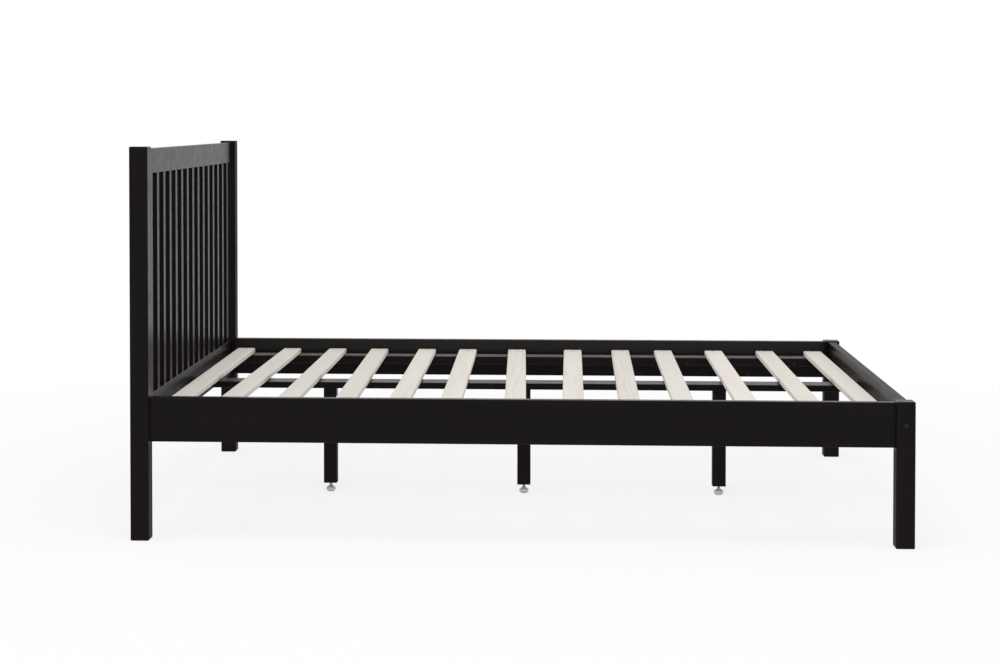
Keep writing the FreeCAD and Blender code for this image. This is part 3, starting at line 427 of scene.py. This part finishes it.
def bare_wood(name, grain, spring, autumn, pith, year):
    """Planed, unfinished wood: rings, fibre, and a tone that drifts from board to board."""
    material, tree = new_material(name)
    place = add(tree, "TexCoord").outputs["Object"]
    years = rings(tree, place, grain, pith, year, BARE_WAVER)
    fibre = streaks(tree, place, grain, FIBRE_COUNTS)[0]
    flame = streaks(tree, place, grain, FLAME_COUNTS)[0]
    tone = streaks(tree, place, grain, TONE_COUNTS, detail=1.0)[0]
    ringed = blend(tree, product(tree, years, RING_SHARE), spring, autumn)
    flamed = blend(tree, between(tree, flame, 0.0, FLAME_SHARE, *FLAME_LIMITS), ringed, autumn)
    fibred = blend(tree, between(tree, fibre, 0.0, FIBRE_SHARE, *FIBRE_LIMITS), flamed, autumn)
    level = between(tree, tone, *TONE_RANGE, *NOISE_SPAN)
    toned = add(tree, "HueSaturation", {"Value": level, "Color": fibred})
    height = add(tree, "Math", {0: fibre, 1: years}, operation="SUBTRACT").outputs[0]
    show(tree, add(tree, "BsdfPrincipled", {
        "Base Color": toned.outputs[0], "Roughness": between(tree, fibre, *BARE_ROUGHNESS),
        "Normal": relief(tree, height, *FIBRE_RELIEF), "Specular IOR Level": BARE_SPECULAR,
    }))
    return material


slat_wood = bare_wood(
    "planed_slat_wood", "y", spring=(0.760, 0.722, 0.670, 1.0), autumn=(0.610, 0.550, 0.475, 1.0),
    pith=(0.13, 0.0, -0.42), year=0.0036,
)
dowel_wood = bare_wood(
    "turned_dowel_wood", "y", spring=(0.610, 0.440, 0.270, 1.0), autumn=(0.420, 0.265, 0.140, 1.0),
    pith=(0.95, 0.0, 0.26), year=0.0018,
)
print("bare woods:", slat_wood.name, dowel_wood.name)

# %% [markdown]
# Steel
#
# Two finishes of steel hold the bed together. The slat screws, the inserts in the legs and the studs
# of the feet are zinc plated: grey, a little cloudy, with a faint yellow and blue cast where the
# plating varies. What sits in or on black timber is blackened: bolts, barrel nuts, the two angle
# brackets, and the screws of ledgers, legs and brackets. Both are one recipe: a base colour that
# drifts in clouds, and a roughness that drifts with it, because a metal shows its finish by how it
# blurs what it mirrors.

# %% Zinc-plated and blackened steel
CLOUD_SCALE = 160.0
CLOUD_LIMITS = (0.35, 0.65)
GRIT_SCALE = 2600.0
GRIT_DEPTH = 0.0001


def steel(name, first, second, metallic, roughness, speck):
    """Plated or blackened steel: clouds of two tints, and fine specks in the surface."""
    material, tree = new_material(name)
    place = add(tree, "TexCoord").outputs["Object"]
    cloud = noise(tree, place, CLOUD_SCALE, detail=5.0)
    grit = noise(tree, place, GRIT_SCALE, detail=2.0)
    show(tree, add(tree, "BsdfPrincipled", {
        "Base Color": blend(tree, rise(tree, cloud, CLOUD_LIMITS), first, second),
        "Metallic": metallic, "Roughness": between(tree, cloud, *roughness, *NOISE_SPAN),
        "Normal": relief(tree, grit, speck, GRIT_DEPTH),
    }))
    return material


zinc_steel = steel(
    "zinc_plated_steel", first=(0.42, 0.42, 0.40, 1.0), second=(0.34, 0.36, 0.38, 1.0),
    metallic=1.0, roughness=(0.26, 0.42), speck=0.15,
)
black_steel = steel(
    "blackened_steel", first=(0.014, 0.014, 0.015, 1.0), second=(0.022, 0.021, 0.020, 1.0),
    metallic=0.7, roughness=(0.38, 0.56), speck=0.25,
)
print("steels:", zinc_steel.name, black_steel.name)

# %% [markdown]
# Moulded plastic
#
# The pads of the feet are pale grey plastic, and the caps over the bolts are a brown-black one.
# Moulded plastic is even in colour, so what tells it from paint is the skin: a fine etched grain
# from the mould, a soft gloss, and a slight dulling where it was handled.

# %% Pad and cap plastic
ETCHED_SCALE = 2200.0
ETCHED_RELIEF = (0.20, 0.0001)
HANDLED_SCALE = 120.0
HANDLED_LIMITS = (0.4, 0.75)


def moulded(name, colour, dulled, roughness, specular):
    """Plastic with the fine grain of an etched mould."""
    material, tree = new_material(name)
    place = add(tree, "TexCoord").outputs["Object"]
    etched = add(tree, "TexVoronoi", {"Vector": place, "Scale": ETCHED_SCALE}).outputs["Distance"]
    handled = noise(tree, place, HANDLED_SCALE, detail=3.0)
    show(tree, add(tree, "BsdfPrincipled", {
        "Base Color": blend(tree, rise(tree, handled, HANDLED_LIMITS), colour, dulled),
        "Roughness": between(tree, handled, *roughness, *NOISE_SPAN),
        "Normal": relief(tree, etched, *ETCHED_RELIEF), "Specular IOR Level": specular,
    }))
    return material


grey_plastic = moulded(
    "pad_plastic", colour=(0.74, 0.74, 0.73, 1.0), dulled=(0.66, 0.66, 0.64, 1.0),
    roughness=(0.36, 0.52), specular=0.4,
)
black_plastic = moulded(
    "cap_plastic", colour=(0.014, 0.011, 0.010, 1.0), dulled=(0.019, 0.015, 0.013, 1.0),
    roughness=(0.34, 0.48), specular=0.15,
)
print("plastics:", grey_plastic.name, black_plastic.name)

# %% [markdown]
# A finish for every piece
#
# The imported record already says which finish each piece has, so the script reads it from there and
# a renamed or added piece still finds its own. Lacquered timber also needs its direction: grain runs
# the long way of a board, which is the longest side of its box.

# %% Give out the finishes
finishes = {
    "slat_wood": slat_wood, "dowel_wood": dowel_wood, "zinc_steel": zinc_steel,
    "black_steel": black_steel, "grey_plastic": grey_plastic, "black_plastic": black_plastic,
}


def long_way(node):
    """The axis along which a piece is longest."""
    low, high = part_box(node)
    return max(AXES, key=lambda axis: (high - low)[AXES[axis]])


def finish_of(node, slot):
    """The finish of a piece, from its slot in the record."""
    if slot != "black_lacquer":
        return finishes[slot]
    return own_lacquers.get(node) or lacquers[long_way(node)]


slots = {part["node"]: part["material_slot"] for part in frame["record"]["subparts"]}
for node, slot in slots.items():
    for held in frame["nodes"][node].material_slots:
        held.material = finish_of(node, slot)
print("finished:", len(slots), "pieces")

# %% [markdown]
# From an outline to a piece
#
# Three kinds of small round part get a finer mesh: pads, studs and caps. Each piece is modelled at
# the origin with the operators that a modeller would use, moved to its place in the mesh itself, and
# then stands for a plain solid of the frame. This cell holds what they share. A turned part starts
# as a flat outline of radius and height whose corners are rounded by a vertex bevel, and a full spin
# about Z makes the body. Doubles on the axis are merged, then the normals are turned outwards.

# %% Shared steps for turned pieces
MERGE = 1e-6
UP = Vector((0, 0, 1))
CORNER_STEPS = 5
SHARP_ANGLE = math.radians(35)


def outline(points, rounded, radius):
    """An open outline of (radius, height) points, with some of its corners rounded."""
    mesh = bmesh.new()
    corners = [mesh.verts.new((r, 0, z)) for r, z in points]
    mesh.faces.new(corners)
    bmesh.ops.bevel(mesh, geom=[corners[number] for number in rounded], offset=radius, affect="VERTICES",
                    segments=CORNER_STEPS, profile=0.5, material=-1)
    on_axis = [edge for edge in mesh.edges if all(abs(vert.co.x) < MERGE for vert in edge.verts)]
    bmesh.ops.delete(mesh, geom=list(mesh.faces), context="FACES_ONLY")
    bmesh.ops.delete(mesh, geom=on_axis, context="EDGES")
    return mesh


def turn_round(mesh, steps):
    """Spin an outline into a closed body about Z."""
    bmesh.ops.spin(mesh, geom=list(mesh.verts) + list(mesh.edges), cent=(0, 0, 0), axis=UP,
                   angle=math.tau, steps=steps, use_merge=True)
    bmesh.ops.remove_doubles(mesh, verts=mesh.verts, dist=MERGE)
    bmesh.ops.recalc_face_normals(mesh, faces=mesh.faces)


def stand_in(name, mesh, node):
    """Make an object of a finished mesh, with the body and the finish of the node it stands for."""
    data = bpy.data.meshes.new(name)
    mesh.to_mesh(data)
    mesh.free()
    data.materials.append(finishes[slots[node]])
    data.shade_smooth()
    data.set_sharp_from_angle(angle=SHARP_ANGLE)
    piece = bpy.data.objects.new(name, data)
    bpy.context.scene.collection.objects.link(piece)
    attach(piece, frame["nodes"][node]["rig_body"])
    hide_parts(node)
    return piece


print("turning helpers ready")

# %% [markdown]
# Levelling pads
#
# Under each centre leg sits a round plastic pad with a flat sole, a short upright rim and a shoulder
# that slopes up to the stud. The frame's solid has the right sizes but sharp corners, which catch no
# light. The same outline with rounded corners, spun once, gives the soft edges of a moulding.

# %% The pads
FEET = ("head", "middle", "foot")
SOLE_SHARE = 0.63
RIM_LOW_SHARE = 0.31
RIM_HIGH_SHARE = 0.69
SHOULDER_SHARE = 0.50
SOCKET_SHARE = 0.27
SOCKET_DEEP_SHARE = 0.56
PAD_ROUNDING = 0.0016
PAD_STEPS = 64


def moulded_pad(node):
    """A pad with rounded edges, in the space of the frame's own pad."""
    low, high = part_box(node)
    wide = (high.x - low.x) / 2
    tall = high.z - low.z
    socket = wide * SOCKET_SHARE
    socket_floor = tall * (1 - SOCKET_DEEP_SHARE)
    mesh = outline([
        (0, 0), (wide * SOLE_SHARE, 0), (wide, tall * RIM_LOW_SHARE), (wide, tall * RIM_HIGH_SHARE),
        (wide * SHOULDER_SHARE, tall), (socket, tall), (socket, socket_floor), (0, socket_floor),
    ], rounded=(1, 2, 3, 4), radius=PAD_ROUNDING)
    turn_round(mesh, PAD_STEPS)
    bmesh.ops.translate(mesh, verts=mesh.verts, vec=((low.x + high.x) / 2, (low.y + high.y) / 2, low.z))
    return mesh


pads = [stand_in("moulded_pad_" + foot, moulded_pad("levelling_pad_" + foot), "levelling_pad_" + foot)
        for foot in FEET]
print("pads:", [(pad.name, len(pad.data.polygons)) for pad in pads])

# %% [markdown]
# Threaded studs
#
# The stud is an M8 screw with a hexagon that a spanner turns. Its thread is a real helix: one tooth
# of the thread, drawn as four short edges that are one pitch tall, is spun round Z while every step
# also climbs a little. After a full turn the tooth has climbed one pitch and meets the turn before,
# so merging the doubles closes the surface. Planes then cut both ends flat and the cut is filled. A
# bump texture could draw the lines, but its outline would stay smooth, and here it is the outline
# between leg and pad that shows.

# %% The thread
PITCH = 0.00125
TOOTH_SHARE = 0.613
CREST_SHARE = 0.125
ROOT_SHARE = 0.25
STUD_STEPS = 32
STUD_WIDE = 0.0079


def thread(mesh, bottom, top):
    """A screw thread between two heights, closed at both ends."""
    crest = STUD_WIDE / 2
    root = crest - TOOTH_SHARE * PITCH
    flank = (1 - CREST_SHARE - ROOT_SHARE) / 2
    heights = (0, ROOT_SHARE, ROOT_SHARE + flank, 1 - flank, 1)
    radii = (root, root, crest, crest, root)
    start = bottom - PITCH
    tooth = [mesh.verts.new((r, 0, start + share * PITCH)) for r, share in zip(radii, heights)]
    edges = [mesh.edges.new(pair) for pair in zip(tooth, tooth[1:])]
    turns = math.ceil((top - start) / PITCH)
    bmesh.ops.spin(mesh, geom=tooth + edges, cent=(0, 0, 0), axis=UP, dvec=UP * PITCH / STUD_STEPS,
                   angle=math.tau * turns, steps=STUD_STEPS * turns)
    bmesh.ops.remove_doubles(mesh, verts=mesh.verts, dist=MERGE)
    for level, ends in ((bottom, {"clear_inner": True}), (top, {"clear_outer": True})):
        whole = list(mesh.verts) + list(mesh.edges) + list(mesh.faces)
        bmesh.ops.bisect_plane(mesh, geom=whole, plane_co=(0, 0, level), plane_no=UP, **ends)
    bmesh.ops.edgeloop_fill(mesh, edges=[edge for edge in mesh.edges if edge.is_boundary])
    bmesh.ops.recalc_face_normals(mesh, faces=mesh.faces)


print("thread:", 1000 * PITCH, "mm a turn")

# %% [markdown]
# Hexagon and pin
#
# Below the thread the stud has its hexagon, and under that a round pin that sits in the pad. Both are
# the same thing with another number of sides: a circle pulled up to a prism. A small bevel on all
# edges takes off the razor corner that no real screw has.

# %% The studs
HEXAGON_SIDES = 6
HEXAGON_WIDE = 0.010
HEXAGON_TALL = 0.004
PIN_WIDE = 0.007
STUD_BEVEL = 0.0005
BEVEL_STEPS = 2


def bevelled_prism(mesh, sides, wide, bottom, top):
    """A prism about Z with all its edges bevelled."""
    rim = bmesh.ops.create_circle(mesh, cap_ends=True, segments=sides, radius=wide / 2)
    sole = rim["verts"][0].link_faces[0]
    bmesh.ops.translate(mesh, verts=rim["verts"], vec=UP * bottom)
    pulled = bmesh.ops.extrude_face_region(mesh, geom=[sole])["geom"]
    upper = [item for item in pulled if isinstance(item, bmesh.types.BMVert)]
    bmesh.ops.translate(mesh, verts=upper, vec=UP * (top - bottom))
    solid = rim["verts"] + upper
    faces = {face for vert in solid for face in vert.link_faces}
    bmesh.ops.recalc_face_normals(mesh, faces=list(faces))
    edges = {edge for vert in solid for edge in vert.link_edges}
    bmesh.ops.bevel(mesh, geom=list(edges), offset=STUD_BEVEL, affect="EDGES", segments=BEVEL_STEPS,
                    profile=0.5, material=-1)


def threaded_stud(node, pad_node):
    """A stud with its thread, its hexagon and the pin that sits in the pad."""
    low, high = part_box(node)
    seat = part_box(pad_node)[1].z
    across_corners = HEXAGON_WIDE / math.cos(math.pi / HEXAGON_SIDES)
    mesh = bmesh.new()
    thread(mesh, seat + HEXAGON_TALL, high.z)
    bevelled_prism(mesh, HEXAGON_SIDES, across_corners, seat, seat + HEXAGON_TALL)
    bevelled_prism(mesh, STUD_STEPS, PIN_WIDE, low.z, seat)
    bmesh.ops.translate(mesh, verts=mesh.verts, vec=((low.x + high.x) / 2, (low.y + high.y) / 2, 0))
    return mesh


studs = [stand_in("threaded_stud_" + foot, threaded_stud("levelling_stud_" + foot, "levelling_pad_" + foot),
                  "levelling_stud_" + foot) for foot in FEET]
print("studs:", [(stud.name, len(stud.data.polygons)) for stud in studs])

# %% [markdown]
# Bolt caps
#
# Ten caps close the holes over the bolt heads. In the frame they are flat discs, flush with the
# posts. A real cap is a shallow dome with a rounded rim, and the dome is what catches a spot of
# light on the black post. All ten are one group in the frame, so the script first finds them: a copy
# of the group's mesh is merged and walked island by island. The thin side of an island is the way
# its cap faces, outwards from the middle of the bed.

# %% The caps
DOME_TALL = 0.0008
# Where the dome bends most: the share of its radius, and of its height.
DOME_BEND_SHARES = (0.55, 0.72)
CAP_ROUNDING = 0.0004
CAP_STEPS = 40


def islands(node):
    """The boxes of the separate solids in a node's mesh, in the order of their lowest corners."""
    copy = bmesh.new()
    copy.from_mesh(frame["nodes"][node].data)
    bmesh.ops.remove_doubles(copy, verts=copy.verts, dist=MERGE)
    left = set(copy.verts)
    boxes = []
    while left:
        found = {left.pop()}
        waiting = list(found)
        while waiting:
            vert = waiting.pop()
            near = {edge.other_vert(vert) for edge in vert.link_edges} - found
            found |= near
            waiting += near
        left -= found
        places = [vert.co for vert in found]
        boxes.append((Vector(map(min, zip(*places))), Vector(map(max, zip(*places)))))
    copy.free()
    return sorted(boxes, key=lambda box: tuple(box[0]))


def domed_cap(low, high):
    """One domed cap, in the place of a flat one with these corners."""
    size = high - low
    middle = (low + high) / 2
    axis = min(range(3), key=lambda number: size[number])
    facing = Vector([math.copysign(1, middle[axis]) if number == axis else 0 for number in range(3)])
    wide = max(size) / 2
    bend_wide, bend_tall = DOME_BEND_SHARES
    cap = outline([
        (0, -size[axis]), (wide, -size[axis]), (wide, 0), (wide * bend_wide, DOME_TALL * bend_tall),
        (0, DOME_TALL),
    ], rounded=(1, 2), radius=CAP_ROUNDING)
    turn_round(cap, CAP_STEPS)
    turned = facing.to_track_quat("Z", "Y").to_matrix().to_4x4()
    face = middle + facing * size[axis] / 2
    bmesh.ops.transform(cap, matrix=Matrix.Translation(face) @ turned, verts=cap.verts)
    return cap


def domed_caps(node):
    """All domed caps as one mesh."""
    mesh = bmesh.new()
    for low, high in islands(node):
        cap = domed_cap(low, high)
        held = bpy.data.meshes.new("cap")
        cap.to_mesh(held)
        cap.free()
        mesh.from_mesh(held)
        bpy.data.meshes.remove(held)
    return mesh


caps = stand_in("domed_bolt_caps", domed_caps("bolt_caps"), "bolt_caps")
print("caps:", len(islands("bolt_caps")), "in", caps.name)

# %% [markdown]
# Floor and studio
#
# The picture was taken on white, so the bed stands on a pale floor that runs on to a white horizon.
# More light would make a floor white too, and would bleach the slats with it. Instead, the floor and
# the world answer each kind of ray in its own way: what the lens sees, or what a glossy or clear
# surface mirrors, is plain white of strength one, while the light that falls on the bed stays at an
# everyday level. Close to the bed the floor only partly gives way to white, so the shadow of the bed
# stays on it, and further out it turns fully white, so that no edge of the floor shows.

# %% Floor and world
FLOOR_HALF = 30.0
FLOOR_COLOUR = (0.90, 0.90, 0.90, 1.0)
FLOOR_WHITE_SHARE = 0.78
SHADOW_NEAR = 1.2
SHADOW_FAR = 3.2
WORLD_LEVEL = 0.78
WHITE = (1.0, 1.0, 1.0, 1.0)


def seen_rays(tree):
    """One for rays from the lens or from a mirror or clear surface, zero for scattered light."""
    path = add(tree, "LightPath").outputs
    direct = larger(tree, path["Is Camera Ray"], path["Is Glossy Ray"])
    return larger(tree, direct, path["Is Transmission Ray"])


def pale_floor():
    """A matt floor that the lens sees as nearly white."""
    material, tree = new_material("pale_floor")
    matt = add(tree, "BsdfDiffuse", {"Color": FLOOR_COLOUR})
    white = add(tree, "Emission", {"Color": WHITE, "Strength": 1.0})
    place = add(tree, "TexCoord").outputs["Object"]
    reach = add(tree, "VectorMath", {0: place}, operation="LENGTH").outputs["Value"]
    whiter = between(tree, reach, FLOOR_WHITE_SHARE, 1.0, start=SHADOW_NEAR, end=SHADOW_FAR)
    share = product(tree, seen_rays(tree), whiter)
    show(tree, add(tree, "MixShader", {0: share, 1: matt.outputs[0], 2: white.outputs[0]}))
    mesh = bmesh.new()
    bmesh.ops.create_grid(mesh, x_segments=1, y_segments=1, size=FLOOR_HALF)
    data = bpy.data.meshes.new("floor")
    mesh.to_mesh(data)
    mesh.free()
    data.materials.append(material)
    floor = bpy.data.objects.new("floor", data)
    bpy.context.scene.collection.objects.link(floor)
    return floor


def studio_world():
    """White to look at, and a little dimmer to be lit by."""
    world = bpy.data.worlds.new("studio")
    world.use_nodes = True
    tree = world.node_tree
    tree.nodes.clear()
    level = between(tree, seen_rays(tree), WORLD_LEVEL, 1.0)
    background = add(tree, "Background", {"Color": WHITE, "Strength": level})
    add(tree, "OutputWorld", {"Surface": background.outputs[0]})
    return world


floor = pale_floor()
bpy.context.scene.world = studio_world()
print(floor.name, "is", 2 * FLOOR_HALF, "m square; world level", WORLD_LEVEL)

# %% [markdown]
# One soft lamp
#
# In the photograph the slats are lit evenly from above and the sides of the rails stay dark, so a
# single large lamp hangs high up on the near side of the bed, a little towards the headboard. Its
# size keeps the shadows soft. Its power tops up the world to the level at which a colour renders
# about as it was written.

# %% The lamp
LAMP_PLACE = Vector((-0.2, -1.8, 4.4))
LAMP_AIM = Vector((0.0, 0.0, 0.3))
LAMP_SIZE = 3.0
LAMP_POWER = 70.0

lamp_data = bpy.data.lights.new("soft_lamp", "AREA")
lamp_data.shape = "DISK"
lamp_data.size = LAMP_SIZE
lamp_data.energy = LAMP_POWER
lamp = bpy.data.objects.new("soft_lamp", lamp_data)
lamp.location = LAMP_PLACE
lamp.rotation_euler = (LAMP_AIM - LAMP_PLACE).to_track_quat("-Z", "Y").to_euler()
bpy.context.scene.collection.objects.link(lamp)
print("lamp:", lamp_data.energy, "W,", round((LAMP_AIM - LAMP_PLACE).length, 2), "m from the bed")

# %% [markdown]
# The lens
#
# In the photograph the outer posts come together by only a pixel or two towards the floor. So its
# camera, a little higher than the headboard, looked down by hardly more than a degree, and the frame
# was slid down over the picture, as a shift lens does. Fitting the known edges of the bed to their
# pixels gave the lens, the stand and the slide. The lens turns a few degrees to the left, which is
# why the rails run slightly downhill from the headboard to the foot.

# %% The camera
PICTURE = (1000, 667)
FOCAL_PIXELS = 1999.09
CENTRE_PIXEL = (455.94, 171.17)
SENSOR = 36.0
STAND = Vector((0.1043, -5.7869, 1.0865))
TURN = math.radians(2.988)
TILT = math.radians(1.5)

lens = bpy.data.cameras.new("lens")
lens.sensor_width = SENSOR
lens.lens = FOCAL_PIXELS / PICTURE[0] * SENSOR
lens.shift_x = (PICTURE[0] / 2 - CENTRE_PIXEL[0]) / PICTURE[0]
lens.shift_y = (CENTRE_PIXEL[1] - PICTURE[1] / 2) / PICTURE[0]
camera = bpy.data.objects.new("camera", lens)
camera.location = STAND
camera.rotation_euler = (math.pi / 2 - TILT, 0, TURN)
bpy.context.scene.collection.objects.link(camera)
bpy.context.scene.camera = camera
bpy.context.scene.view_settings.view_transform = "Standard"
print("lens:", round(lens.lens, 2), "mm; shift", round(lens.shift_x, 4), round(lens.shift_y, 4))
